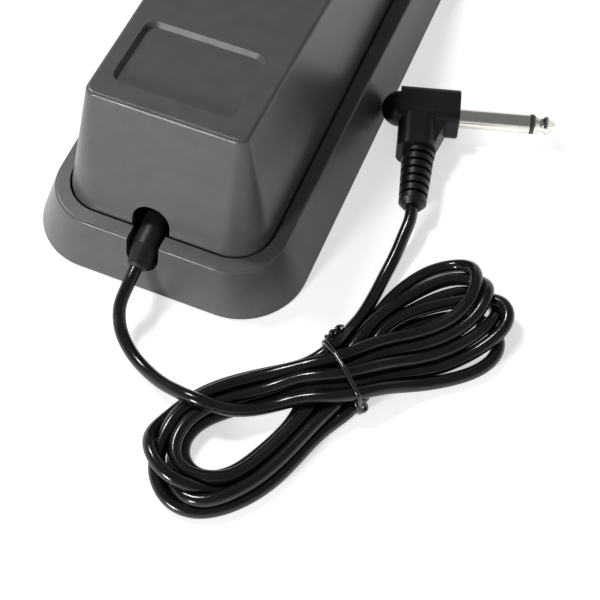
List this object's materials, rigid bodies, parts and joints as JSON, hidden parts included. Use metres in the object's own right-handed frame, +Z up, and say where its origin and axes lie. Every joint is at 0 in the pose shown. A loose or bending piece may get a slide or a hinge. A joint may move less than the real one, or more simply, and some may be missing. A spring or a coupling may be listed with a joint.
{
  "type": "sustain pedal",
  "caption": "Foot-operated keyboard sustain pedal: hinged treadle in a flared black frame, microswitch inside, tied cord and a right-angle jack plug.",
  "frame": {"origin": "centre of the base's footprint, on the surface the feet rest on", "axes": "+Z up; +Y along the pedal from the low heel end, where the treadle is hinged, to the high end, where the cord leaves; +X across, with the plug and the tied cord on the -X side"},
  "size_m": [0.1502, 0.2515, 0.0567],
  "materials": {
    "frame_plastic": "satin moulded",
    "treadle_plastic": "satin moulded",
    "plate_plastic": "matte moulded",
    "foot_rubber": "matte",
    "bumper_rubber": "matte",
    "screw_steel": "zinc plated",
    "pin_steel": "ground",
    "spring_steel": "plated wire",
    "switch_plastic": "matte",
    "switch_red": "matte",
    "contact_brass": "tinned",
    "boot_rubber": "satin",
    "cord_jacket": "glossy PVC",
    "tie_plastic": "glossy",
    "wire_red": "glossy",
    "wire_black": "glossy",
    "plug_plastic": "matte moulded",
    "plug_nickel": "nickel plated",
    "plug_ring": "matte"
  },
  "bodies": {
    "base": {"base_frame": "frame_plastic", "bottom_plate": "plate_plastic", "rubber_feet": "foot_rubber", "plate_screws": "screw_steel", "stop_bumpers": "bumper_rubber", "hinge_pin": "pin_steel", "pin_clips": "screw_steel", "return_spring": "spring_steel", "switch_body": "switch_plastic", "switch_terminals": "contact_brass", "switch_screws": "screw_steel", "cord_boot": "boot_rubber", "cord_clamp": "plate_plastic", "clamp_screws": "screw_steel", "cord_inner": "cord_jacket", "wire_signal": "wire_red", "wire_ground": "wire_black", "cord_pedal_lead": "cord_jacket", "cord_plug_lead": "cord_jacket", "cord_hank": "cord_jacket", "cord_tie": "tie_plastic", "plug_head": "plug_plastic", "plug_boot": "plug_plastic", "plug_sleeve": "plug_nickel", "plug_insulator": "plug_ring", "plug_tip": "plug_nickel"},
    "treadle": {"treadle_shell": "treadle_plastic"},
    "lever": {"switch_lever": "screw_steel"},
    "plunger": {"switch_plunger": "switch_red"}
  },
  "joints": [
    {"name": "treadle_hinge", "type": "hinge", "parent": "base", "child": "treadle", "pos_m": [0, -0.074, 0.0115], "axis": [1, 0, 0], "range_deg": [-2, 0], "stiffness_Nm_per_rad": 20, "springref_deg": 1.72, "deforming": ["return_spring"]},
    {"name": "lever_hinge", "type": "hinge", "parent": "base", "child": "lever", "pos_m": [0, -0.0386, 0.0192], "axis": [1, 0, 0], "range_deg": [-6.5, 0]},
    {"name": "plunger_slide", "type": "slide", "parent": "base", "child": "plunger", "axis": [0, 0, 1], "range_m": [-0.00052, 0]}
  ],
  "couplings": [
    {"joint": "lever_hinge", "follows": "treadle_hinge", "ratio": 3.2},
    {"joint": "plunger_slide", "follows": "treadle_hinge", "m_per_rad": 0.01434}
  ]
}
